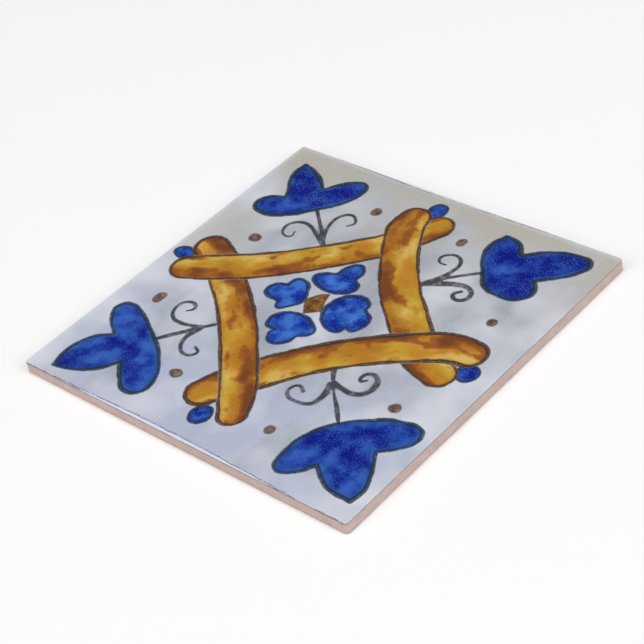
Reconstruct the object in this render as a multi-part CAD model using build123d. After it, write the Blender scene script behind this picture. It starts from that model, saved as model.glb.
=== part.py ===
from build123d import *
import os

# Ceramic wall tile, pressed and fired as one piece, in millimetres.
# Origin: the middle of the tile in plan, on the plane of its back.
# +Z points out of the glazed face, and X and Y run along the edges.

# Outline and section
tile_length = 152.0  # edge to edge along X
tile_width = 152.0  # edge to edge along Y
tile_thickness = 5.0  # back's plane to glazed face
corner_radius = 1.2  # the four upright corners
face_roll_radius = 0.5  # soft rim where the glaze rolls over the edge
back_arris = 0.5  # small bevel that the press leaves round the back

# Keying relief pressed into the back: a waffle of shallow drafted pockets
back_border = 10.0  # least width of the plain flat band round the pockets
pocket_size = 16.4  # mouth of one square pocket
pocket_depth = 0.7
pocket_corner_radius = 2.0  # corners of the pocket's mouth
pocket_draft = 35.0  # lean of the pocket walls, in degrees from upright
rib_width = 2.8  # flat land between two pockets


def tile_blank():
    """The pressed slab with rounded upright corners, rolled face rim and bevelled back."""
    outline = RectangleRounded(tile_length, tile_width, corner_radius)
    slab = extrude(outline, amount=tile_thickness)
    face_rim = slab.faces().sort_by(Axis.Z)[-1].edges()
    slab = fillet(face_rim, radius=face_roll_radius)
    back_rim = slab.faces().sort_by(Axis.Z)[0].edges()
    return chamfer(back_rim, length=back_arris)


def pockets_along(edge_length):
    """How many pockets fit between the two plain borders of an edge."""
    room = edge_length - 2 * back_border + rib_width
    return int(room // (pocket_size + rib_width))


def pocket_cutter():
    """One pocket, wide at the back's plane and narrower at its floor."""
    mouth = RectangleRounded(pocket_size, pocket_size, pocket_corner_radius)
    return extrude(mouth, amount=pocket_depth, taper=pocket_draft)


def keying_pockets():
    """The waffle's pockets, centred on the back."""
    pitch = pocket_size + rib_width
    columns = pockets_along(tile_length)
    rows = pockets_along(tile_width)
    cutter = pocket_cutter()
    return [place * cutter for place in GridLocations(pitch, pitch, columns, rows)]


def make_tile():
    """The whole tile as one solid."""
    tile = tile_blank() - keying_pockets()
    tile.label = "tile"
    return tile


os.makedirs("parts", exist_ok=True)
export_step(make_tile(), "parts/tile.step")
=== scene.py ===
import math
import bmesh
import bpy
from mathutils import Matrix, Vector


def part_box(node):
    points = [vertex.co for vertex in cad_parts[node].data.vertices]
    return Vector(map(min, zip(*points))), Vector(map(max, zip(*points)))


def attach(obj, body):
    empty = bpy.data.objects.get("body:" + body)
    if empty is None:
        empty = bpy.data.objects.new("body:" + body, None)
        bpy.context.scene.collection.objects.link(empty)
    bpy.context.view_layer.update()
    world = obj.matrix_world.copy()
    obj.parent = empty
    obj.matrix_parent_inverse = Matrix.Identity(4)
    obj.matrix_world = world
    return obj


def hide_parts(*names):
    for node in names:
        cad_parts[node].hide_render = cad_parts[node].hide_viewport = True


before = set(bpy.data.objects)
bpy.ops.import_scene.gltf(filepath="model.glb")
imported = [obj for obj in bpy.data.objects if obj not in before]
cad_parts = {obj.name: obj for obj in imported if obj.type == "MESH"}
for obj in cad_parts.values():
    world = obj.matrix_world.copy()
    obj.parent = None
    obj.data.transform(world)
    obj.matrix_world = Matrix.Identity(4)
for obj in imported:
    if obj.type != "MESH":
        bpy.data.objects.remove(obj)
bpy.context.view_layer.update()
mm = 0.001
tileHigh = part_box("tile")[1]  # the tile stands about the origin, so this is half its side and its thickness
halfSide, faceHeight = tileHigh.x, tileHigh.z
print("frame loaded")


# Node helpers. A socket's value is either a link from another node or a plain value.


def addNode(tree, kind, sockets=None, **settings):
    node = tree.nodes.new(kind)
    for name, value in settings.items():
        setattr(node, name, value)
    for key, value in (sockets or {}).items():
        if isinstance(value, bpy.types.NodeSocket):
            tree.links.new(value, node.inputs[key])
        else:
            node.inputs[key].default_value = value
    return node


def make(tree, kind, sockets=None, **settings):
    return addNode(tree, kind, sockets, **settings).outputs[0]


def geo(tree, kind, sockets=None, **settings):
    return make(tree, "GeometryNode" + kind, sockets, **settings)


def calc(tree, operation, *values):
    return make(tree, "ShaderNodeMath", dict(enumerate(values)), operation=operation)


def plus(tree, first, second):
    return calc(tree, "ADD", first, second)


def minus(tree, first, second):
    return calc(tree, "SUBTRACT", first, second)


def times(tree, first, second):
    return calc(tree, "MULTIPLY", first, second)


def timesPlus(tree, first, second, third):
    return calc(tree, "MULTIPLY_ADD", first, second, third)


def vectorCalc(tree, operation, first, second=(0, 0, 0), third=(0, 0, 0)):
    key = "Scale" if operation == "SCALE" else 1
    node = addNode(tree, "ShaderNodeVectorMath", {0: first, key: second, 2: third}, operation=operation)
    return node.outputs[1 if operation in ("LENGTH", "DISTANCE", "DOT_PRODUCT") else 0]


def combine(tree, x=0.0, y=0.0, z=0.0):
    return make(tree, "ShaderNodeCombineXYZ", {"X": x, "Y": y, "Z": z})


def split(tree, vector):
    return addNode(tree, "ShaderNodeSeparateXYZ", {0: vector}).outputs


def remap(tree, value, low, high, toLow=0.0, toHigh=1.0, smooth=False):
    kind = "SMOOTHSTEP" if smooth else "LINEAR"
    sockets = {"Value": value, "From Min": low, "From Max": high, "To Min": toLow, "To Max": toHigh}
    return make(tree, "ShaderNodeMapRange", sockets, interpolation_type=kind)


def blendColour(tree, amount, under, over):
    return addNode(tree, "ShaderNodeMix", {0: amount, 6: under, 7: over}, data_type="RGBA").outputs[2]


seedStride = (17.3, 9.1, 5.7)  # how far one seed moves a pattern


def noise(tree, place, scale, detail, rough, seed, flat=True):
    # a flat pattern is the same all the way down
    shift = seed if isinstance(seed, bpy.types.NodeSocket) else (seed, seed, seed)
    moved = vectorCalc(tree, "MULTIPLY_ADD", seedStride, shift, place)
    sockets = {"Vector": moved, "Scale": scale, "Detail": detail, "Roughness": rough}
    return make(tree, "ShaderNodeTexNoise", sockets, noise_dimensions="2D" if flat else "3D")


def centred(tree, value):
    return minus(tree, value, 0.5)


def newTree(name, kind, inputs, outputs):
    # inputs and outputs list the sockets' names by type
    tree = bpy.data.node_groups.new(name, kind + "NodeTree")
    for way, names in (("INPUT", inputs), ("OUTPUT", outputs)):
        for socketType, labels in names.items():
            for label in labels.split(", "):
                tree.interface.new_socket(label, in_out=way, socket_type="NodeSocket" + socketType)
    return tree, tree.nodes.new("NodeGroupInput").outputs, tree.nodes.new("NodeGroupOutput").inputs


def passOn(given, names):
    return {name: given[name] for name in names.split(", ")}


def placeGroup(tree, group, sockets):
    kind = "GeometryNodeGroup" if tree.bl_idname == "GeometryNodeTree" else "ShaderNodeGroup"
    return addNode(tree, kind, sockets, node_tree=group).outputs


def joined(tree, *bodies):
    node = tree.nodes.new("GeometryNodeJoinGeometry")
    for body in bodies:
        tree.links.new(body, node.inputs[0])
    return node.outputs[0]


def position(tree):
    return geo(tree, "InputPosition")


def store(tree, body, name, value, dataType, domain="POINT"):
    sockets = {"Geometry": body, "Name": name, "Value": value}
    return geo(tree, "StoreNamedAttribute", sockets, data_type=dataType, domain=domain)


def stored(tree, name, dataType):
    return geo(tree, "InputNamedAttribute", {"Name": name}, data_type=dataType)


def addObject(name, data):
    thing = bpy.data.objects.new(name, data)
    bpy.context.scene.collection.objects.link(thing)
    return thing


# The tile's body: a gathered grid for the face, rings of faces for the rolled rim and the sides,
# and a flat back with the waffle of keying pockets.

tileBody = {  # names with capitals are the modifier's own inputs
    "Corner Radius": 1.2 * mm,
    "Roll Radius": 0.5 * mm,
    "Back Arris": 0.5 * mm,
    "Cells": 272,
    "Pocket Size": 16.4 * mm,
    "Pocket Depth": 0.7 * mm,
    "Pocket Radius": 2.0 * mm,
    "Rib Width": 2.8 * mm,
    "Pockets Along": 7,
    "Edge Wander": 0.16 * mm,  # how far a hand-set edge strays
    "Face Wander": 0.05 * mm,
    "Seed": 3.0,
    "pocketDraft": 35.0,  # degrees
    "pocketCornerSteps": 4,
    "edgeGather": 0.08,  # how much finer the grid gets towards the edges
    "gatherPower": 9.0,  # and how close to them
    "rollSteps": 5,
    "sideSteps": 2,
    "weldWithin": 0.005 * mm,
    "edgeNoise": (28.0, 1.0, 0.5),  # scale, detail and roughness
    "edgeReach": (66 * mm, 75 * mm),  # from the middle, where the straying starts and is full
    "faceNoise": (22.0, 1.0, 0.5),
    "faceReach": (2.0 * mm, 3.0 * mm),  # above the back
    "sharpAngle": 32.0,  # degrees
}
# the inputs of the two trees that make it
faceSizes = "Half Side, Thickness, Corner Radius, Roll Radius, Back Arris"
backSizes = "Pocket Size, Pocket Depth, Pocket Radius, Wall Lean, Rib Width"


def gatheredAxis(tree, value, halfFlat):
    far = times(tree, calc(tree, "POWER", value, tileBody["gatherPower"]), tileBody["edgeGather"])
    near = times(tree, value, 1.0 + tileBody["edgeGather"])
    return times(tree, minus(tree, near, far), halfFlat)


def pressedFace():
    tree, given, result = newTree("pressedFace", "Geometry", {"Float": faceSizes, "Int": "Cells"},
                                  {"Geometry": "Body"})
    roll, arris = given["Roll Radius"], given["Back Arris"]
    halfFlat = minus(tree, given["Half Side"], roll)
    count = plus(tree, given["Cells"], 1)
    grid = geo(tree, "MeshGrid", {"Size X": 2, "Size Y": 2, "Vertices X": count, "Vertices Y": count})
    parts = split(tree, position(tree))
    square = combine(tree, *(gatheredAxis(tree, parts[axis], halfFlat) for axis in "XY"))

    # the square's corners are drawn in to a quarter circle about the corner centre
    reach = minus(tree, given["Half Side"], given["Corner Radius"])
    reach = combine(tree, reach, reach)
    inside = vectorCalc(tree, "MINIMUM", square, reach)
    inside = vectorCalc(tree, "MAXIMUM", inside, vectorCalc(tree, "SCALE", reach, -1.0))
    past = vectorCalc(tree, "SUBTRACT", square, inside)
    pastParts = split(tree, vectorCalc(tree, "ABSOLUTE", past))
    furthest = calc(tree, "MAXIMUM", pastParts["X"], pastParts["Y"])
    outward = vectorCalc(tree, "NORMALIZE", past)
    rounded = vectorCalc(tree, "ADD", inside, vectorCalc(tree, "SCALE", outward, furthest))
    lifted = vectorCalc(tree, "ADD", rounded, combine(tree, z=given["Thickness"]))
    face = store(tree, grid, "outward", outward, "FLOAT_VECTOR")
    face = geo(tree, "SetPosition", {"Geometry": face, "Position": lifted})

    # rings: the roll in equal turns, the upright side, and the bevel under it
    turn = math.pi / 2 / tileBody["rollSteps"]
    steps = []
    for k in range(tileBody["rollSteps"]):
        out = math.sin((k + 1) * turn) - math.sin(k * turn)
        drop = math.cos((k + 1) * turn) - math.cos(k * turn)
        steps.append((times(tree, roll, out), times(tree, roll, drop)))
    sideDrop = minus(tree, plus(tree, roll, arris), given["Thickness"])
    steps += [(0.0, times(tree, sideDrop, 1 / tileBody["sideSteps"]))] * tileBody["sideSteps"]
    bevel = times(tree, arris, -1.0)
    steps.append((bevel, bevel))
    neighbours = geo(tree, "InputMeshEdgeNeighbors")
    rim = make(tree, "FunctionNodeCompare", {2: neighbours, 3: 1}, data_type="INT", operation="EQUAL")
    direction = stored(tree, "outward", "FLOAT_VECTOR")
    for out, drop in steps:
        ring = addNode(tree, "GeometryNodeExtrudeMesh", {"Mesh": face, "Selection": rim, "Offset Scale": 0},
                       mode="EDGES")
        rim = ring.outputs["Top"]
        shift = vectorCalc(tree, "ADD", vectorCalc(tree, "SCALE", direction, out), combine(tree, z=drop))
        face = geo(tree, "SetPosition", {"Geometry": ring.outputs["Mesh"], "Selection": rim, "Offset": shift})
    tree.links.new(store(tree, face, "backRim", rim, "BOOLEAN", "EDGE"), result["Body"])
    return tree


def keyingBack():
    tree, given, result = newTree("keyingBack", "Geometry", {
        "Geometry": "Body", "Float": backSizes, "Int": "Pockets Along"}, {"Geometry": "Body"})
    size, count = given["Pocket Size"], given["Pockets Along"]
    square = geo(tree, "CurvePrimitiveQuadrilateral", {"Width": size, "Height": size})
    steps = tileBody["pocketCornerSteps"]
    mouth = geo(tree, "FilletCurve", {"Curve": square, "Radius": given["Pocket Radius"], "Count": steps},
                mode="POLY")
    plate = geo(tree, "FillCurve", {"Curve": mouth}, mode="NGONS")
    up = combine(tree, z=given["Pocket Depth"])
    pocket = addNode(tree, "GeometryNodeExtrudeMesh", {"Mesh": plate, "Offset": up, "Offset Scale": 1},
                     mode="FACES").outputs
    lean = calc(tree, "DIVIDE", times(tree, given["Wall Lean"], -2.0), size)
    pocket = geo(tree, "ScaleElements",
                 {"Geometry": pocket["Mesh"], "Selection": pocket["Top"], "Scale": plus(tree, lean, 1.0)},
                 domain="FACE")
    span = times(tree, plus(tree, size, given["Rib Width"]), minus(tree, count, 1))
    places = geo(tree, "MeshGrid", {"Size X": span, "Size Y": span, "Vertices X": count, "Vertices Y": count})
    pockets = geo(tree, "InstanceOnPoints", {"Points": places, "Instance": pocket})
    mouths = geo(tree, "InstanceOnPoints", {"Points": places, "Instance": mouth})
    mouths = geo(tree, "RealizeInstances", {"Geometry": mouths})

    # the land is the flat sheet between the body's lower rim and the pockets' mouths
    rim = stored(tree, "backRim", "BOOLEAN")
    outline = geo(tree, "MeshToCurve", {"Mesh": given["Body"], "Selection": rim})
    land = geo(tree, "FillCurve", {"Curve": joined(tree, outline, mouths)}, mode="TRIANGLES")
    whole = geo(tree, "RealizeInstances", {"Geometry": joined(tree, given["Body"], land, pockets)})
    whole = geo(tree, "MergeByDistance", {"Geometry": whole, "Distance": tileBody["weldWithin"]})
    tree.links.new(whole, result["Body"])
    return tree


# Paint fields: how far each point of the face lies from a brush path or from the edge of a painted shape.
# The glaze material turns these distances into brush strokes and washes.

fieldSet = {
    "pathStep": 0.25 * mm,  # how finely a path and an outline are followed
    "outlineStep": 0.3 * mm,
    "rayHeight": 10 * mm,  # rays fall from here onto the filled shapes
}


def motifLine(tree, motif, step):
    curve = addNode(tree, "GeometryNodeObjectInfo", {"Object": motif}).outputs["Geometry"]
    curve = geo(tree, "ResampleCurve", {"Curve": curve, "Length": step}, mode="LENGTH")
    return curve, geo(tree, "CurveToMesh", {"Curve": curve})


def distanceTo(tree, line):
    return addNode(tree, "GeometryNodeProximity", {0: line}, target_element="EDGES").outputs["Distance"]


def brushPath():
    # the field holds the way along the path, the place across it in half widths, and the distance outside it
    tree, given, result = newTree("brushPath", "Geometry", {
        "Geometry": "Body", "Object": "Path", "String": "Field"}, {"Geometry": "Body"})
    path, line = motifLine(tree, given["Path"], fieldSet["pathStep"])
    distance = distanceTo(tree, line)
    nearest = geo(tree, "SampleNearest", {"Geometry": line}, domain="POINT")

    def atNearest(value, dataType):
        sockets = {"Geometry": path, "Value": value, "Index": nearest}
        return geo(tree, "SampleIndex", sockets, data_type=dataType, domain="POINT")

    place = position(tree)
    halfWidth = atNearest(geo(tree, "InputRadius"), "FLOAT")
    offset = vectorCalc(tree, "SUBTRACT", place, atNearest(place, "FLOAT_VECTOR"))
    tangent = atNearest(geo(tree, "InputTangent"), "FLOAT_VECTOR")
    side = split(tree, vectorCalc(tree, "CROSS_PRODUCT", tangent, offset))["Z"]
    along = atNearest(addNode(tree, "GeometryNodeSplineParameter").outputs["Length"], "FLOAT")
    field = combine(tree, along, calc(tree, "DIVIDE", side, halfWidth), minus(tree, distance, halfWidth))
    tree.links.new(store(tree, given["Body"], given["Field"], field, "FLOAT_VECTOR"), result["Body"])
    return tree


def washOutline():
    # the field holds the distance from the outline, below zero inside it
    tree, given, result = newTree("washOutline", "Geometry", {
        "Geometry": "Body", "Object": "Outline", "String": "Field"}, {"Geometry": "Body"})
    outline, line = motifLine(tree, given["Outline"], fieldSet["outlineStep"])
    filled = geo(tree, "FillCurve", {"Curve": outline})
    above = vectorCalc(tree, "MULTIPLY", position(tree), (1, 1, 0))
    above = vectorCalc(tree, "ADD", above, (0, 0, fieldSet["rayHeight"]))
    hit = geo(tree, "Raycast", {"Target Geometry": filled, "Source Position": above,
                                "Ray Direction": (0, 0, -1), "Ray Length": 1.0})
    signed = times(tree, distanceTo(tree, line), minus(tree, 1.0, times(tree, hit, 2.0)))
    tree.links.new(store(tree, given["Body"], given["Field"], signed, "FLOAT"), result["Body"])
    return tree


# Painted motifs, in millimetres on the face seen from above. A star marks a sharp point of an outline.

canes = {  # each runs clockwise and ends under the start of the next: x, y, half width
    "caneNorth": {
        "path": [(-5, 59, 6.2), (-4.2, 53.5, 7), (-1.6, 48.2, 7), (6.5, 36, 6.8), (18.2, 22.1, 7.2),
                 (29.6, 12.1, 7.1), (38.5, 4.4, 7), (47.5, -2.4, 6.8), (57.3, -5.9, 6.3)],
        "brush": {"Line Width": 1.2, "Seed": 70, "Depth": 0.53}},
    "caneEast": {
        "path": [(60.3, 7.7, 6.2), (55, 7.4, 6.9), (48, 4.6, 7.3), (40, -0.5, 7.2), (30, -7.8, 7),
                 (20, -16.7, 6.9), (10.6, -27.4, 7.2), (2.6, -38.5, 7.6), (-3, -46.8, 7.2),
                 (-6.8, -54.2, 6.5)],
        "brush": {"Line Width": 1.7, "Seed": 74, "Depth": 0.54}},
    "caneSouth": {
        "path": [(9.9, -57.4, 5.1), (6, -51.4, 6.2), (2.2, -46.3, 6.5), (-7.8, -35.2, 6.6),
                 (-18.8, -23.8, 6.7), (-34, -10.4, 6.4), (-43, -3.9, 6.5), (-52, 2.8, 6.6),
                 (-62.2, 7.6, 6.5)],
        "brush": {"Line Width": 1.3, "Seed": 78, "Depth": 0.59}},
    "caneWest": {
        "path": [(-61.8, -6.2, 6.3), (-55.5, -2.6, 7), (-47.7, 2, 7.1), (-38.8, 7.8, 7.1), (-22, 22, 6.9),
                 (-9.8, 34.5, 6.5), (-4, 41, 6.5), (2.8, 52.6, 6.4), (6.3, 59, 6)],
        "brush": {"Line Width": 1.2, "Seed": 86, "Depth": 0.48}},
}
blooms = [
    [(-42, 45.3), (-34.8, 54.5), (-32.8, 62), (-35.8, 67.3), (-42, 64.8), (-48.6, 57.2, "*"),
     (-57, 63.4), (-66.3, 66.6, "*"), (-66.2, 59.5), (-58.5, 46, "*"), (-64.8, 43), (-66.3, 36.8),
     (-61, 33.6), (-51.5, 36.2)],
    [(37.3, 45), (31.6, 53), (30, 60.5), (31.8, 66.9, "*"), (38.2, 65.8), (43.6, 60.2, "*"),
     (52, 67), (61, 69.8), (68.3, 68), (66.6, 60.6), (56.4, 50.4, "*"), (60, 44.2),
     (56.6, 38.4), (49, 37.2), (42.6, 39)],
    [(44, -42), (52.5, -35.2), (62, -30.4), (69.6, -30.3), (72.2, -34.6), (69, -41.2),
     (63.6, -46, "*"), (68.2, -53.6), (71.4, -61.5), (70.8, -67.8, "*"), (60.5, -66.9), (50.8, -60.8, "*"),
     (46.6, -67.3), (40.2, -69.6), (37.2, -61.5), (38.6, -50.5)],
    [(-42.5, -42.5), (-33.5, -49.2), (-27, -57.5), (-26.3, -65.6), (-31.5, -68.4), (-38.3, -64.4),
     (-44.4, -58.2, "*"), (-50, -65.8), (-58.6, -70.6), (-65.2, -71.8, "*"), (-67, -62.5),
     (-64, -53.4), (-57.8, -48.2, "*"), (-65.2, -42.6), (-68.6, -36), (-64.6, -32.4), (-54, -35.9)],
]
leaves = [
    [(-5, 9.4), (1.4, 11.8), (3.5, 15.6), (-0.3, 19.4, "*"), (-0.6, 24.2), (-3.4, 27), (-7.6, 24),
     (-8.8, 18.8, "*"), (-13, 16.6), (-15.4, 13.6), (-11.6, 10.6)],
    [(0.4, 4.2), (3, 10.8), (9, 13), (13.4, 10.4), (13.7, 7.9, "*"), (18.3, 5), (19.2, 0),
     (17, -3.6), (14, -3, "*"), (12.4, -6.6), (5.6, -5.6), (1, -0.6)],
    [(-5, -5.6), (2.6, -7.8), (5.8, -11), (1.4, -15.7, "*"), (0.6, -19.8), (-5, -22.4), (-8.2, -19.4),
     (-8, -16.6, "*"), (-12.4, -15.4), (-12.8, -9.6)],
    [(-9.3, 0.8), (-12, -4.2), (-15.6, -6.8), (-18, -3.9, "*"), (-23.2, -3.4), (-26.1, 0),
     (-24, 3.8), (-20.8, 5, "*"), (-20.2, 8.8), (-16.4, 9.9), (-11.8, 6)],
]
ovals = [(0, 66.4, 3.5, 4.6), (65.8, -0.7, 4.1, 4.4), (0.3, -63, 4, 4.5), (-69.2, 0.2, 4.3, 3.3)]
dots = [(-20.3, 55.2, 2, 2.4), (19.8, 55.6, 1.8, 2.2), (56.8, 24.6, 1.8, 1.9), (55.4, -26.7, 2.3, 2.2),
        (26.2, -56.4, 1.9, 1.9), (-22.4, -52, 2.5, 2.1), (-58.2, -24.4, 2.2, 2.9), (-51.2, 20.4, 2.6, 2.3)]
kites = [[(-3.4, 8.1, "*"), (-1.8, 3.4), (0.3, -0.3, "*"), (-4.7, -4.5, "*"), (-9.1, 1.7, "*"), (-5.8, 6.8)]]
sprigs = [  # a stem to each bloom with a scroll on either side of it: x, y, half width
    [(-25, 29.6, 1), (-30, 34.8, 0.8), (-36, 40.2, 0.7), (-42, 45.5, 0.8)],
    [(-25.6, 30, 0.8), (-29.2, 36, 0.6), (-31.3, 42, 0.75), (-30.7, 46.6, 0.8), (-27.6, 49.1, 0.75),
     (-24.6, 47.9, 0.6), (-23.1, 45.4, 0.55), (-24.4, 43.2, 0.5)],
    [(-26.4, 30.2, 0.8), (-32, 33.4, 0.7), (-36.6, 36, 0.85), (-41, 36.6, 0.85), (-44.6, 34.4, 0.75),
     (-45.4, 30.4, 0.65), (-42.4, 27.1, 0.5), (-39.6, 27.8, 0.5), (-40, 30.3, 0.4)],
    [(22.4, 29.6, 1.4), (25.8, 34.2, 1), (30.4, 39, 0.75), (36.9, 44.9, 0.8)],
    [(22.8, 30.2, 1.4), (25.6, 35.4, 1.1), (27.2, 40.6, 0.85), (27.3, 45, 0.8), (24.6, 48.2, 0.7),
     (20.6, 47.9, 0.65), (18.6, 44.9, 0.65), (20, 42.6, 0.5), (22.6, 42.4, 0.4)],
    [(23, 30, 1.2), (28, 32.9, 1.4), (33.6, 35.4, 1.3), (38, 35.8, 1), (41.4, 32.8, 0.95),
     (40.4, 29.2, 0.9), (37.2, 28.6, 0.85), (35.6, 30.6, 0.85), (37, 32.7, 0.7)],
    [(25, -22.2, 1.1), (28.4, -26.6, 0.7), (33.4, -31.9, 0.5), (38, -36, 0.85), (41.4, -39.4, 0.9),
     (44, -42, 0.5)],
    [(29.6, -27.2, 0.9), (34, -28.3, 1), (39, -28.4, 1.2), (42.4, -25.8, 1.1), (42.9, -21.4, 1.3),
     (40.9, -18.2, 0.9), (37.6, -17.6, 0.85), (35.9, -19.8, 0.8), (37, -22.1, 0.7), (38.3, -21, 0.5)],
    [(28.8, -28.6, 1.1), (30.2, -32, 1.3), (30.6, -36.2, 1.1), (29.4, -39.6, 0.9), (24.6, -41.2, 0.75),
     (19.9, -40.4, 0.75), (18.2, -37.2, 0.65), (20.2, -34.6, 0.65), (23, -36, 0.7)],
    [(-28.6, -25.4, 0.9), (-31.2, -28.4, 0.8), (-34.6, -32.6, 1), (-38.6, -37.6, 1.1), (-42.2, -42.2, 0.9)],
    [(-32, -28.7, 0.8), (-36.2, -30.3, 0.8), (-41, -31.2, 0.9), (-45.4, -30.2, 0.75), (-48.4, -25.6, 0.7),
     (-47.2, -21.4, 0.7), (-43.6, -20.6, 0.8), (-41.8, -22.8, 0.7), (-43.2, -24.8, 0.4)],
    [(-31.6, -28.8, 1.2), (-32.6, -32.6, 1.1), (-33, -36.4, 0.9), (-31, -41, 0.8), (-27.4, -43, 0.7),
     (-24.2, -42, 0.7), (-23.6, -39.8, 0.6), (-26, -38.4, 0.6)],
]
curveSteps = 16  # between two points of a path or outline


def ovalPoints(x, y, halfWide, halfHigh):
    turns = [k * math.pi / 2 for k in range(4)]
    return [(x + halfWide * math.cos(t), y + halfHigh * math.sin(t)) for t in turns]


def motifCurve(name, splines, closed):
    # the points of an open path carry their half width, those of an outline may carry a star
    data = bpy.data.curves.new(name, "CURVE")
    data.dimensions = "3D"
    data.resolution_u = curveSteps
    for points in splines:
        spline = data.splines.new("BEZIER")
        spline.bezier_points.add(len(points) - 1)
        spline.use_cyclic_u = closed
        for knot, (x, y, *extra) in zip(spline.bezier_points, points):
            knot.co = (x * mm, y * mm, faceHeight)
            knot.radius = mm if closed else extra[0] * mm
            knot.handle_left_type = knot.handle_right_type = "VECTOR" if extra == ["*"] else "AUTO"
    return addObject(name, data)


paths = {**{name: [cane["path"]] for name, cane in canes.items()}, "penLines": sprigs}
shapes = {
    "dotShapes": [ovalPoints(*dot) for dot in dots],
    "ovalShapes": [ovalPoints(*oval) for oval in ovals],
    "cobaltShapes": blooms,
    "leafShapes": leaves,
    "kiteShape": kites,
}


def paintedTile():
    tree, given, result = newTree("paintedTile", "Geometry", {
        "Geometry": "Geometry", "Float": f"{faceSizes}, {backSizes}, Edge Wander, Face Wander, Seed",
        "Int": "Cells, Pockets Along", "Object": ", ".join([*paths, *shapes]), "Material": "Glaze, Clay",
    }, {"Geometry": "Geometry"})
    body = placeGroup(tree, pressedFace(), passOn(given, faceSizes + ", Cells"))["Body"]
    sizes = passOn(given, backSizes + ", Pockets Along")
    body = placeGroup(tree, keyingBack(), {"Body": body, **sizes})["Body"]
    pathTree, shapeTree = brushPath(), washOutline()
    for name in paths:
        body = placeGroup(tree, pathTree, {"Body": body, "Path": given[name], "Field": name})["Body"]
    for name in shapes:
        body = placeGroup(tree, shapeTree, {"Body": body, "Outline": given[name], "Field": name})["Body"]

    # a pressed and fired tile is never quite straight: edges wander in plan and the face in height
    place = position(tree)
    flat = vectorCalc(tree, "MULTIPLY", place, (1, 1, 0))
    parts = split(tree, place)
    shifts = {}
    for axis, seedStep in (("X", 0.0), ("Y", 7.3)):
        stray = noise(tree, flat, *tileBody["edgeNoise"], plus(tree, given["Seed"], seedStep))
        nearEdge = remap(tree, calc(tree, "ABSOLUTE", parts[axis]), *tileBody["edgeReach"], smooth=True)
        shifts[axis] = times(tree, times(tree, centred(tree, stray), nearEdge), given["Edge Wander"])
    swell = centred(tree, noise(tree, flat, *tileBody["faceNoise"], given["Seed"]))
    onFace = remap(tree, parts["Z"], *tileBody["faceReach"])
    rise = times(tree, times(tree, swell, onFace), given["Face Wander"])
    shift = combine(tree, shifts["X"], shifts["Y"], rise)
    body = geo(tree, "SetPosition", {"Geometry": body, "Offset": shift})
    body = geo(tree, "RealizeInstances", {"Geometry": body})
    body = geo(tree, "SetMaterial", {"Geometry": body, "Material": given["Clay"]})
    glazeFoot = minus(tree, given["Thickness"], given["Roll Radius"])
    glazed = make(tree, "FunctionNodeCompare", {0: parts["Z"], 1: glazeFoot},
                  data_type="FLOAT", operation="GREATER_THAN")
    body = geo(tree, "SetMaterial", {"Geometry": body, "Selection": glazed, "Material": given["Glaze"]})
    tree.links.new(body, result["Geometry"])
    return tree


def setInputs(modifier, values):
    for item in modifier.node_group.interface.items_tree:
        if item.item_type == "SOCKET" and item.in_out == "INPUT" and item.name in values:
            modifier[item.identifier] = values[item.name]


def makeTile(glaze, clay):
    motifs = {name: motifCurve(name, splines, False) for name, splines in paths.items()}
    motifs.update({name: motifCurve(name, splines, True) for name, splines in shapes.items()})
    host = addObject("tileHost", bpy.data.meshes.new("tileHost"))
    modifier = host.modifiers.new("paintedTile", "NODES")
    modifier.node_group = paintedTile()
    draft = math.tan(math.radians(tileBody["pocketDraft"]))
    setInputs(modifier, {
        **tileBody, **motifs, "Half Side": halfSide, "Thickness": faceHeight,
        "Wall Lean": tileBody["Pocket Depth"] * draft, "Glaze": glaze, "Clay": clay,
    })
    bpy.context.view_layer.update()
    graph = bpy.context.evaluated_depsgraph_get()
    mesh = bpy.data.meshes.new_from_object(host.evaluated_get(graph), preserve_all_data_layers=True,
                                           depsgraph=graph)
    mesh.name = "paintedTile"
    for spare in [host, *motifs.values()]:
        bpy.data.objects.remove(spare)
    mesh.materials.pop(index=0)  # the empty slot that joined parts without a material leave
    closeUp(mesh)
    layOutBakeMap(mesh)
    return addObject("paintedTile", mesh)


def closeUp(mesh):
    work = bmesh.new()
    work.from_mesh(mesh)
    bmesh.ops.recalc_face_normals(work, faces=work.faces)
    openEdges = sum(1 for edge in work.edges if not edge.is_manifold)
    work.to_mesh(mesh)
    work.free()
    mesh.polygons.foreach_set("use_smooth", [True] * len(mesh.polygons))
    mesh.set_sharp_from_angle(angle=math.radians(tileBody["sharpAngle"]))
    print("tile mesh:", len(mesh.vertices), "points,", len(mesh.polygons), "faces,", openEdges, "open edges")


bakeMap = {  # shares of the map's side
    "faceCentre": 0.44,
    "faceHalf": 0.43,
    "margin": 1.0 * mm,  # round the face
    "sidesFrom": 0.885,
    "sideStep": 0.029,
    "backCentre": 0.935,
    "backSqueeze": 0.12,
}


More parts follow.
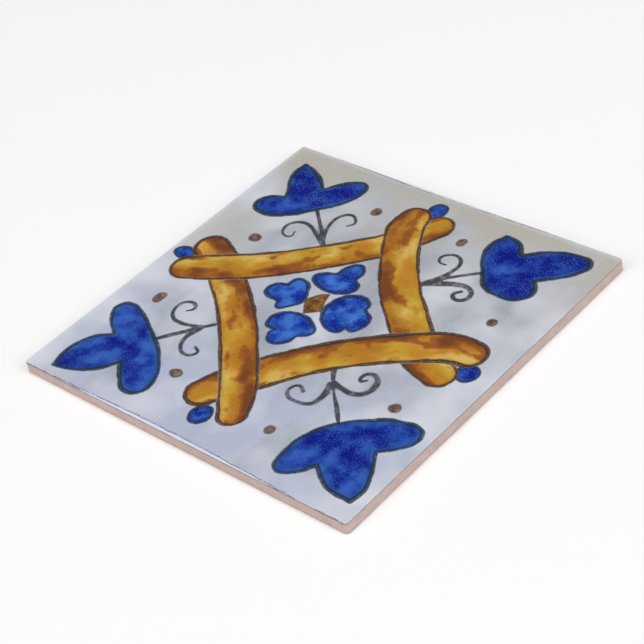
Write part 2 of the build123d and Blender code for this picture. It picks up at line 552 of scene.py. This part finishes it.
def layOutBakeMap(mesh):
    # the glazed face takes most of the square, the four sides lie in strips above it, the back beside it
    layer = mesh.uv_layers.new(name="OFBake")
    outward = mesh.attributes["outward"].data
    roll, centre = tileBody["Roll Radius"], bakeMap["faceCentre"]
    share = bakeMap["faceHalf"] / (halfSide + bakeMap["margin"])
    for face in mesh.polygons:
        axis = 0 if abs(face.normal.x) > abs(face.normal.y) else 1
        for corner in face.loop_indices:
            vertex = mesh.loops[corner].vertex_index
            place = mesh.vertices[vertex].co
            if face.material_index == 1:
                turn = math.acos(min(1.0, max(0.0, 1.0 - (faceHeight - place.z) / roll)))
                spread = place + outward[vertex].vector * roll * (turn - math.sin(turn))
                u, v = centre + spread.x * share, centre + spread.y * share
            elif abs(face.normal.z) < 0.5:
                strip = axis * 2 + (face.normal[axis] > 0)
                u = centre + place[1 - axis] * share
                v = bakeMap["sidesFrom"] + strip * bakeMap["sideStep"] + place.z * share
            else:
                u = bakeMap["backCentre"] + place.x * share * bakeMap["backSqueeze"]
                v = centre + place.y * share
            layer.uv[corner].vector = (u, v)


# Materials. The paint groups take places and distances in millimetres. In the tables beside them a noise is
# scale, detail, roughness and maybe a seed, and a ramp is its start and end, then its values there.

paints = {  # red, green and blue as a paint chart gives them, 0 to 255
    "cobalt": {"Halo": (66, 112, 196), "Pale": (44, 84, 172), "Full": (14, 44, 140), "Deep": (0, 8, 120),
               "Outline": (26, 44, 50)},
    "leafBlue": {"Halo": (84, 134, 212), "Pale": (50, 100, 190), "Full": (16, 60, 160),
                 "Deep": (0, 28, 132), "Outline": (16, 38, 78)},
    "cane": {"Pale": (208, 179, 100), "Ochre": (189, 151, 50), "Orange": (192, 118, 40),
             "Amber": (170, 115, 34), "Sienna": (142, 79, 35), "Umber": (100, 54, 30),
             "Outline": (58, 44, 34)},
    "kite": {"Halo": (146, 106, 44), "Pale": (146, 106, 44), "Full": (112, 74, 34), "Deep": (88, 54, 36),
             "Outline": (78, 56, 44)},
    "dot": {"Halo": (134, 112, 100), "Pale": (134, 112, 100), "Full": (108, 86, 76), "Deep": (84, 62, 54),
            "Outline": (92, 74, 66)},
    # Foot is the glaze's dull end on the rolled rim, partly painted shade
    # Rim is the bare white glaze, and also a painted highlight along the -X and +Y edges
    "trim": {"Pen": (56, 58, 64), "Border": (70, 78, 122), "Rim": (214, 216, 230), "Foot": (118, 108, 120)},
    "ground": {"Cool": (172, 178, 199), "Plain": (179, 182, 187), "Warm": (173, 168, 154),
               "Light": (206, 208, 217), "Grey": (154, 159, 168)},
    "clay": {"Body": (205, 182, 173), "Dark": (194, 169, 160), "Pale": (216, 198, 190),
             # a grey for the glaze's end, partly painted shade, and for painted shade at the foot of the
             # sides
             "GlazeEndAndShade": (134, 118, 120)},
}


def linear(part):
    part = part / 255
    return part / 12.92 if part <= 0.04045 else ((part + 0.055) / 1.055) ** 2.4


def mixed(name):
    return {key: tuple(linear(part) for part in rgb) + (1.0,) for key, rgb in paints[name].items()}


def layPaint(tree, paint, layers, guides, colours):
    # a layer: its colour, what it follows, where that starts and is full, its greatest share
    for name, guide, start, full, share, *soft in layers:
        amount = remap(tree, guides[guide], start, full, 0.0, share, smooth=bool(soft))
        paint = blendColour(tree, amount, paint, colours[name])
    return paint


edgeLook = {
    "stray": (0.2, 2, 0.5),
    "pressure": (0.08, 3, 0.6),
    "halfWidth": (0.35, 0.65, 0.36, 0.68),  # of the line's width, by pressure
    "dryness": (0.6, 3, 0.6),
    "dry": (0.5, 0.3),
    "ink": 0.95,  # how well a line covers
}


def handDrawnEdge():
    tree, given, result = newTree("handDrawnEdge", "Shader", {
        "Vector": "Place", "Float": "Distance, Line Width, Wander, Softness, Dryness, Seed",
    }, {"Float": "Inside, Line"})
    place, soft, seed, look = given["Place"], given["Softness"], given["Seed"], edgeLook
    stray = centred(tree, noise(tree, place, *look["stray"], seed))
    distance = timesPlus(tree, stray, given["Wander"], given["Distance"])
    inside = remap(tree, distance, soft, times(tree, soft, -1.0), smooth=True)
    tree.links.new(inside, result["Inside"])

    # the pen presses harder in places and runs dry in others
    pressure = noise(tree, place, *look["pressure"], plus(tree, seed, 5.0))
    halfLine = times(tree, given["Line Width"], remap(tree, pressure, *look["halfWidth"]))
    outer, inner = plus(tree, halfLine, soft), minus(tree, halfLine, soft)
    line = remap(tree, calc(tree, "ABSOLUTE", distance), outer, inner, smooth=True)
    dry = noise(tree, place, *look["dryness"], plus(tree, seed, 9.0))
    dry = times(tree, remap(tree, dry, *look["dry"]), given["Dryness"])
    tree.links.new(times(tree, line, minus(tree, 1.0, dry)), result["Line"])
    return tree


def outlined(tree, wash, outline, edge, result):
    inked = times(tree, edge["Line"], edgeLook["ink"])
    tree.links.new(blendColour(tree, inked, wash, outline), result["Color"])
    tree.links.new(calc(tree, "MAXIMUM", edge["Inside"], inked), result["Cover"])
    tree.links.new(edge["Line"], result["Line"])


plainWash = {"Wander": 0.8, "Grain": 0.7, "Blotch": 0.8, "Pooling": 0.12, "Thickness": 0,
             "Slope": (0, 0, 0), "Rim": 0.05, "Seam": 0, "Bleed": 0}
washes = {  # the paint of each kind of shape, and how its wash differs from a plain one
    "dotShapes": ("dot", {"Seed": 60, "Pool Size": 5, "Line Width": 0.5, "Wander": 1.4}),
    "ovalShapes": ("cobalt", {
        "Seed": 41, "Pool Size": 6, "Line Width": 0.9, "Grain": 0.8, "Thickness": 0.06, "Seam": 0.2,
        "Bleed": 0.2}),
    "cobaltShapes": ("cobalt", {
        "Seed": 11, "Pool Size": 15, "Line Width": 1.4, "Wander": 0.6, "Grain": 1.1, "Blotch": 0.75,
        "Pooling": 0.16, "Thickness": 0.12, "Slope": (0, 0.002, 0), "Rim": -0.03, "Seam": 0.6,
        "Bleed": 0.36}),
    "leafShapes": ("leafBlue", {
        "Seed": 23, "Pool Size": 13, "Line Width": 1.35, "Wander": 0.7, "Blotch": 1.1, "Pooling": 0.08,
        "Thickness": -0.12, "Slope": (0.004, 0.004, 0), "Rim": 0.3, "Seam": 0.2, "Bleed": 0.15}),
    "kiteShape": ("kite", {"Seed": 31, "Pool Size": 5, "Line Width": 0.8, "Wander": 0.4, "Grain": 0.6}),
}
washLook = {
    "edge": {"Softness": 0.3, "Dryness": 0.12},
    "pool": (1, 0.5),  # its scale comes from Pool Size
    "pooled": (0.38, 0.62, -1, 1),
    "blotch": (3, 0.5),
    "blotchesPerPool": 2.2,
    "grain": (1.7, 1, 0.7),
    "rimWidth": 5,
    "sparseness": 0.6,
    "seamPlaces": (0.1, 2, 0.5),
    "seamShare": (0.5, 0.62, 0.1, 0.9),
    "seamRaggedness": -2.4,
    "seamWidth": 1.4,
    "bleedReach": (3.2, 0.3),
    "layers": [("Full", "tone", 0.28, 0.48, 1), ("Deep", "tone", 0.5, 0.7, 1),
               ("Halo", "sparse", 0.52, 0.68, 0.6)],
}


def pigmentWash():
    tree, given, result = newTree("pigmentWash", "Shader", {
        "Vector": "Place, Slope", "Float": "Distance, Seed, Pool Size, Line Width, Wander, Grain, Blotch, "
        "Pooling, Thickness, Rim, Seam, Bleed", "Color": "Halo, Pale, Full, Deep, Outline",
    }, {"Color": "Color", "Float": "Cover, Line"})
    place, seed, look = given["Place"], given["Seed"], washLook
    drawn = passOn(given, "Place, Distance, Line Width, Wander, Seed")
    edge = placeGroup(tree, edgeTree, {**drawn, **look["edge"]})
    # pigment pools in the middle of a shape, and changes towards its rim and across the tile
    poolScale = calc(tree, "DIVIDE", 1.0, given["Pool Size"])
    pool = noise(tree, place, poolScale, *look["pool"], seed)
    blotchScale = times(tree, poolScale, look["blotchesPerPool"])
    blotch = noise(tree, place, blotchScale, *look["blotch"], plus(tree, seed, 31.0))
    grain = noise(tree, place, *look["grain"], seed)
    pool = timesPlus(tree, remap(tree, pool, *look["pooled"]), given["Pooling"], given["Thickness"])
    pool = timesPlus(tree, centred(tree, blotch), given["Blotch"], pool)
    grained = times(tree, centred(tree, grain), given["Grain"])
    depth = times(tree, given["Distance"], -1.0)
    slope = vectorCalc(tree, "DOT_PRODUCT", place, given["Slope"])
    slope = timesPlus(tree, remap(tree, depth, look["rimWidth"], 0.0), given["Rim"], slope)
    tone = plus(tree, plus(tree, pool, slope), plus(tree, grained, 0.5))
    # where the wash is thin, its pale grains crowd together
    sparse = timesPlus(tree, minus(tree, 0.5, blotch), look["sparseness"], grain)
    wash = layPaint(tree, given["Pale"], look["layers"], {"tone": tone, "sparse": sparse}, given)
    # here and there the wash stops short of the outline and leaves a lighter seam
    thin = noise(tree, place, *look["seamPlaces"], plus(tree, seed, 21.0))
    seam = plus(tree, depth, times(tree, grain, look["seamRaggedness"]))
    seam = remap(tree, seam, look["seamWidth"], 0.0, smooth=True)
    seam = times(tree, seam, remap(tree, thin, *look["seamShare"]))
    wash = blendColour(tree, times(tree, seam, given["Seam"]), wash, given["Halo"])
    # the outline's colour has run a little way into the wet wash
    bled = times(tree, remap(tree, depth, *look["bleedReach"]), given["Bleed"])
    wash = blendColour(tree, bled, wash, given["Outline"])
    outlined(tree, wash, given["Outline"], edge, result)
    return tree


caneLook = {
    "edge": {"Wander": 0.6, "Softness": 0.25, "Dryness": 0.12},
    "noises": {  # rates along and across the cane, or none for the tile's own places; a noise; a seed step
        "streak": ((0.06, 0.6), 1, 2, 0.45, 0),
        "bristle": ((0.096, 1.44), 1, 1, 0.5, 5),
        "warmth": ((0.06, 0.6), 0.9, 2, 0.5, 17),
        "swell": ((0.05, 0), 1, 1, 0.5, 13),
        "blot": ((0.085, 1.1), 1, 1, 0.4, 2),
        "speck": (None, 0.8, 2, 0.7, 0),
        "ragged": (None, 0.3, 2, 0.6, 0),
    },
    "streakMiddle": 0.26,
    "toneByDepth": 0.5,
    "toneBySpeck": 0.18,
    "toneByBristle": 0.4,
    "toneAcross": (0.9, -0.9, -0.1, 0.16),
    "warmthByDepth": 1.2,
    "bandRaggedness": 1.4,
    "bandSwell": (0.35, 0.65, -0.5, 0.5),
    "bandByDepth": -3,
    "blotRaggedness": 0.3,
    "blotsAcross": (0.5, -0.7, -0.2, 0.1),
    "blotsByDepth": 0.4,
    "rimDepth": (-3.6, -0.6),
    "rimAtEnds": (16, 3),
    "blotsAtRim": 0.14,
    "layers": [
        ("Orange", "warmth", 0.49, 0.64, 0.6, "soft"), ("Pale", "tone", 0.5, 0.27, 0.9),
        ("Amber", "tone", 0.5, 0.84, 1), ("Amber", "band", 0.1, -0.7, 0.85, "soft"),
        ("Sienna", "band", -0.5, -1.2, 0.8, "soft"), ("Amber", "distance", -2.2, -0.4, 0.6),
        ("Amber", "blot", 0.39, 0.53, 0.7, "soft"), ("Sienna", "blot", 0.5, 0.575, 0.85, "soft"),
        ("Umber", "blot", 0.6, 0.78, 0.75),
    ],
}


def paintedCane():
    tree, given, result = newTree("paintedCane", "Shader", {
        "Vector": "Place, Field", "Float": "Length, Line Width, Seed, Depth",
        "Color": "Pale, Ochre, Orange, Amber, Sienna, Umber, Outline",
    }, {"Color": "Color", "Float": "Cover, Line"})
    look = caneLook
    field = split(tree, given["Field"])
    along, across, distance = times(tree, field["X"], 1000.0), field["Y"], times(tree, field["Z"], 1000.0)
    drawn = passOn(given, "Place, Line Width, Seed")
    edge = placeGroup(tree, edgeTree, {"Distance": distance, **drawn, **look["edge"]})
    made = {}
    for name, (rates, scale, detail, rough, step) in look["noises"].items():
        place = given["Place"]
        if rates:
            place = combine(tree, times(tree, along, rates[0]), times(tree, across, rates[1]))
        made[name] = noise(tree, place, scale, detail, rough, plus(tree, given["Seed"], step))
    deeper = centred(tree, given["Depth"])

    # a smooth wash runs from pale yellow to amber in long strokes along the cane, with warmer patches
    tone = plus(tree, times(tree, given["Depth"], look["toneByDepth"]),
                minus(tree, made["streak"], look["streakMiddle"]))
    tone = timesPlus(tree, centred(tree, made["speck"]), look["toneBySpeck"], tone)
    tone = timesPlus(tree, centred(tree, made["bristle"]), look["toneByBristle"], tone)
    tone = plus(tree, tone, remap(tree, across, *look["toneAcross"]))
    warmth = timesPlus(tree, deeper, look["warmthByDepth"], made["warmth"])
    # a shaded band lies on the side that faces the middle of the tile
    ragged = centred(tree, made["ragged"])
    band = timesPlus(tree, ragged, look["bandRaggedness"], across)
    band = minus(tree, band, remap(tree, made["swell"], *look["bandSwell"]))
    band = timesPlus(tree, deeper, look["bandByDepth"], band)
    # brown blots with ragged edges lie over it, most of them on that side and at the ends
    blot = timesPlus(tree, ragged, look["blotRaggedness"], made["blot"])
    blot = plus(tree, blot, remap(tree, across, *look["blotsAcross"]))
    toEnd = calc(tree, "MINIMUM", along, minus(tree, given["Length"], along))
    rim = times(tree, remap(tree, distance, *look["rimDepth"]), remap(tree, toEnd, *look["rimAtEnds"]))
    blot = timesPlus(tree, rim, look["blotsAtRim"], timesPlus(tree, deeper, look["blotsByDepth"], blot))
    guides = {"tone": tone, "warmth": warmth, "band": band, "distance": distance, "blot": blot}
    wash = layPaint(tree, given["Ochre"], look["layers"], guides, given)
    outlined(tree, wash, given["Outline"], edge, result)
    return tree


groundLook = {
    "cloud": (0.03, 2, 0.5, 3),
    "drift": 70,  # how far the clouds push the change from cool to warm
    "foldStretch": (1, 0.45, 1),
    "folds": (0.05, 2, 0.5, 8),
    "foldsOutward": (40, 80, 0.06, -0.1),
    "lighterEast": (20, 70, -0.06, 0.12),
    "lighterWest": (-50, -76, 0, 0.32),
    "darkerNorth": (30, 70, 0, 0.12),
    "lightPatches": (0.045, 2, 0.5, 12),
    "stainAt": (-70, 16, 5),
    "fine": (0.9, 3, 0.7, 1),
    "layers": [
        ("Plain", "drift", -45, 30, 1), ("Grey", "folds", 0.42, 0.72, 1),
        ("Light", "lighter", 0.42, 0.82, 1), ("Warm", "drift", 36, 76, 0.85, "soft"),
        ("Warm", "stain", 32, 6, 0.5, "soft"), ("Light", "fine", 0.35, 0.65, 0.16),
    ],
}


def glazeGround():
    tree, given, result = newTree("glazeGround", "Shader", {
        "Vector": "Place", "Color": "Cool, Plain, Warm, Light, Grey"}, {"Color": "Color"})
    place, look = given["Place"], groundLook
    parts = split(tree, place)
    # the white runs from cool at one edge to warm at the other
    cloud = centred(tree, noise(tree, place, *look["cloud"]))
    drift = timesPlus(tree, cloud, look["drift"], parts["Y"])
    # it is greyer in soft folds round the middle and lighter towards the two X edges
    folds = noise(tree, vectorCalc(tree, "MULTIPLY", place, look["foldStretch"]), *look["folds"])
    folds = plus(tree, remap(tree, vectorCalc(tree, "LENGTH", place), *look["foldsOutward"]), folds)
    lighter = plus(tree, remap(tree, parts["X"], *look["lighterEast"]),
                   remap(tree, parts["X"], *look["lighterWest"]))
    lighter = minus(tree, lighter, remap(tree, parts["Y"], *look["darkerNorth"]))
    lighter = plus(tree, lighter, noise(tree, place, *look["lightPatches"]))
    guides = {"drift": drift, "folds": folds, "lighter": lighter,
              "stain": vectorCalc(tree, "DISTANCE", place, look["stainAt"]),
              "fine": noise(tree, place, *look["fine"])}
    tree.links.new(layPaint(tree, given["Cool"], look["layers"], guides, given), result["Color"])
    return tree


def newMaterial(name):
    material = bpy.data.materials.new(name)
    material.use_nodes = True
    return material, material.node_tree.nodes["Principled BSDF"].inputs


def placeOnPiece(tree):
    return vectorCalc(tree, "SCALE", addNode(tree, "ShaderNodeTexCoord").outputs["Object"], 1000.0)


def fieldOf(tree, name):
    return addNode(tree, "ShaderNodeAttribute", attribute_name=name, attribute_type="GEOMETRY").outputs


def relief(tree, shader, height, depth):
    bump = make(tree, "ShaderNodeBump", {"Strength": 0.5, "Distance": depth, "Height": height})
    tree.links.new(bump, shader["Normal"])


glazeLook = {
    "borderMiddle": 3,  # the border line lies furthest in at this distance from X 0, towards -X
    "border": (12, 60, 74.7, 76),
    "borderLine": {"Line Width": 0.35, "Wander": 0.9, "Softness": 0.16, "Dryness": 1, "Seed": 40},
    "borderInk": 0.8,
    "pastBorder": (0.1, 0.4, 0, 0.9),
    # painted highlight: white laid along the -X and +Y edges where the rolled glaze edge catches the light
    "paintedSheenEdge": (73.2, 76, 0, 0.5),
    "footNoise": (0.3, 3, 0.5, 6),
    "footWander": 0.3,
    "foot": (4.98, 4.72),
    # painted light: the foot line is weaker towards the +X edge, where that edge is lit
    "footFadeWhereLit": (72, 75, 0.8, 0.4),
    "penSide": (0.35, -0.3),
    "penEnd": (0.5, 0.1),
    "penNoise": (0.3, 4, 0.6, 30),
    "penDry": (0.34, 0.52, 0.72, 0.96),
    "specular": 0.16,  # a satin glaze
    "peel": (0.55, 2, 0.5, 50),
    "relief": 0.06 * mm,
    "linesInRelief": 0.5,
    "peelInRelief": 0.5,
    "glossNoise": (0.06, 3, 0.5, 17),
    "gloss": (0.35, 0.65, 0.3, 0.42),
    "dullLines": 0.1,
}


def borderPaint(tree, paint, place):
    # a thin broken line runs off two opposite edges, and outside it the bare white glaze shows; the same
    # white is painted along the -X and +Y edges as a highlight where the rolled glaze edge catches the light
    look, trim, parts = glazeLook, mixed("trim"), split(tree, place)
    offMiddle = calc(tree, "ABSOLUTE", plus(tree, parts["X"], look["borderMiddle"]))
    past = minus(tree, calc(tree, "ABSOLUTE", parts["Y"]), remap(tree, offMiddle, *look["border"]))
    border = placeGroup(tree, edgeTree, {"Place": place, "Distance": past, **look["borderLine"]})["Line"]
    edgeward = calc(tree, "MAXIMUM", times(tree, parts["X"], -1.0), parts["Y"])
    # painted highlight along the -X and +Y edges
    paint = blendColour(tree, remap(tree, edgeward, *look["paintedSheenEdge"]), paint, trim["Rim"])
    paint = blendColour(tree, remap(tree, past, *look["pastBorder"], smooth=True), paint, trim["Rim"])
    paint = blendColour(tree, times(tree, border, look["borderInk"]), paint, trim["Border"])
    # the glaze ends in a dull line low on the rolled rim, partly painted shade; as painted light it is
    # fainter along the +X edge, where that edge is lit
    low = timesPlus(tree, noise(tree, place, *look["footNoise"]), look["footWander"], parts["Z"])
    foot = remap(tree, low, *look["foot"], smooth=True)
    foot = times(tree, foot, remap(tree, parts["X"], *look["footFadeWhereLit"]))
    return blendColour(tree, foot, paint, trim["Foot"])


def paintedGlaze():
    material, shader = newMaterial("paintedGlaze")
    tree, look = material.node_tree, glazeLook
    place = placeOnPiece(tree)
    paint = placeGroup(tree, glazeGround(), {"Place": place, **mixed("ground")})["Color"]
    paint = borderPaint(tree, paint, place)

    pen = split(tree, fieldOf(tree, "penLines")["Vector"])
    side = minus(tree, calc(tree, "ABSOLUTE", pen["Y"]), 1.0)
    away = times(tree, pen["Z"], 1000.0)
    cover = times(tree, remap(tree, side, *look["penSide"], smooth=True),
                  remap(tree, away, *look["penEnd"], smooth=True))
    cover = times(tree, cover, remap(tree, noise(tree, place, *look["penNoise"]), *look["penDry"]))
    paint = blendColour(tree, cover, paint, mixed("trim")["Pen"])

    lines, washTree, caneTree = cover, pigmentWash(), paintedCane()
    for field, (paintName, wash) in washes.items():
        distance = times(tree, fieldOf(tree, field)["Fac"], 1000.0)
        shape = placeGroup(tree, washTree, {"Place": place, "Distance": distance, **plainWash, **wash,
                                            **mixed(paintName)})
        paint = blendColour(tree, shape["Cover"], paint, shape["Color"])
        lines = calc(tree, "MAXIMUM", lines, shape["Line"])

    # each cane passes over the tail of the one before it and under the next
    drawn = []
    for name, cane in canes.items():
        length = sum(math.dist(a[:2], b[:2]) for a, b in zip(cane["path"], cane["path"][1:]))
        drawn.append(placeGroup(tree, caneTree, {"Place": place, "Field": fieldOf(tree, name)["Vector"],
                                                 "Length": length, **cane["brush"], **mixed("cane")}))
    for k, cane in enumerate(drawn):
        uncovered = minus(tree, 1.0, drawn[(k + 1) % len(drawn)]["Cover"])
        paint = blendColour(tree, times(tree, cane["Cover"], uncovered), paint, cane["Color"])
        lines = calc(tree, "MAXIMUM", lines, times(tree, cane["Line"], uncovered))
    tree.links.new(paint, shader["Base Color"])
    shader["Specular IOR Level"].default_value = look["specular"]

    # brush lines stand a little proud under the glaze, which has a faint orange-peel skin
    peel = times(tree, noise(tree, place, *look["peel"]), look["peelInRelief"])
    relief(tree, shader, plus(tree, times(tree, lines, look["linesInRelief"]), peel), look["relief"])
    gloss = remap(tree, noise(tree, place, *look["glossNoise"]), *look["gloss"])
    tree.links.new(plus(tree, gloss, times(tree, lines, look["dullLines"])), shader["Roughness"])
    return material


clayLook = {
    "mottle": (0.25, 4, 0.6, 2),
    "fleck": (1.8, 2, 0.6, 5),
    "stray": (0.3, 3, 0.5, 9),
    "footWander": 0.5,
    "pits": (1.2, 4, 0.7, 7),
    "mottleInRelief": 0.6,
    "relief": 0.12 * mm,
    "roughness": 0.88,
    "layers": [  # the last two: the glaze's uneven grey end, partly painted shade, and painted shade at the foot
        ("Dark", "mottle", 0.35, 0.65, 1), ("Pale", "fleck", 0.5, 0.7, 0.6),
        ("GlazeEndAndShade", "height", 4.35, 4.65, 0.8, "soft"), ("GlazeEndAndShade", "height", 1.3, 0.5, 0.3, "soft"),
    ],
}


def bareClay():
    material, shader = newMaterial("bareClay")
    tree, look, colours = material.node_tree, clayLook, mixed("clay")
    place = placeOnPiece(tree)
    names = ("mottle", "fleck", "stray", "pits")
    made = {name: noise(tree, place, *look[name], flat=False) for name in names}
    height = plus(tree, split(tree, place)["Z"], times(tree, made["stray"], look["footWander"]))
    tint = layPaint(tree, colours["Body"], look["layers"], {**made, "height": height}, colours)
    tree.links.new(tint, shader["Base Color"])
    shader["Roughness"].default_value = look["roughness"]
    pits = plus(tree, made["pits"], times(tree, made["mottle"], look["mottleInRelief"]))
    relief(tree, shader, pits, look["relief"])
    return material


edgeTree = handDrawnEdge()
tile = makeTile(paintedGlaze(), bareClay())
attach(tile, "root")
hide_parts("tile")
print("tile made")


# Floor, light and camera

cameraSet = {
    "lens": 101.8,
    "lookAt": (4.5 * mm, -4.9 * mm, faceHeight),
    "distance": 638.6 * mm,
    "azimuth": 48.4,  # degrees from straight in front, round to the right
    "elevation": 38.26,
    "roll": 11.8,
}
studio = {
    "floorReach": 3.0,
    "floorHeight": -0.02 * mm,
    "floorColour": (0.92, 0.92, 0.92, 1.0),
    "floorRoughness": 0.9,
    "worldStrength": 0.22,
    "lamps": {  # place, size, power
        "overheadLamp": ((0.2, -0.2, 3.2), 2.4, 58.0),
        "frontLamp": ((-0.6, -2.6, 2.0), 2.0, 33.0),
        "sideLamp": ((2.8, 0.2, 2.0), 2.0, 42.0),
    },
}


def makeCamera():
    data = bpy.data.cameras.new("camera")
    data.lens = cameraSet["lens"]
    camera = addObject("camera", data)
    azimuth, elevation, roll = (math.radians(cameraSet[name]) for name in ("azimuth", "elevation", "roll"))
    back = Vector((math.sin(azimuth) * math.cos(elevation), -math.cos(azimuth) * math.cos(elevation),
                   math.sin(elevation)))
    turn = (-back).to_track_quat("-Z", "Y").to_matrix().to_4x4()
    camera.matrix_world = turn @ Matrix.Rotation(-roll, 4, "Z")
    camera.location = Vector(cameraSet["lookAt"]) + back * cameraSet["distance"]
    bpy.context.scene.camera = camera


def makeFloor():
    reach, low = studio["floorReach"], studio["floorHeight"]
    corners = [(-reach, -reach, low), (reach, -reach, low), (reach, reach, low), (-reach, reach, low)]
    mesh = bpy.data.meshes.new("floor")
    mesh.from_pydata(corners, [], [(0, 1, 2, 3)])
    floor = addObject("floor", mesh)
    material, shader = newMaterial("paleFloor")
    shader["Base Color"].default_value = studio["floorColour"]
    shader["Roughness"].default_value = studio["floorRoughness"]
    mesh.materials.append(material)


def makeLight():
    world = bpy.data.worlds.new("studio")
    world.use_nodes = True
    background = world.node_tree.nodes["Background"].inputs
    background["Color"].default_value = (1, 1, 1, 1)
    background["Strength"].default_value = studio["worldStrength"]
    bpy.context.scene.world = world
    for name, (place, size, power) in studio["lamps"].items():
        data = bpy.data.lights.new(name, "AREA")
        data.size = size
        data.energy = power
        lamp = addObject(name, data)
        lamp.location = place
        lamp.rotation_euler = (-Vector(place)).to_track_quat("-Z", "Y").to_euler()


makeCamera()
makeFloor()
makeLight()
bpy.context.scene.view_settings.view_transform = "Standard"
print("stage set")
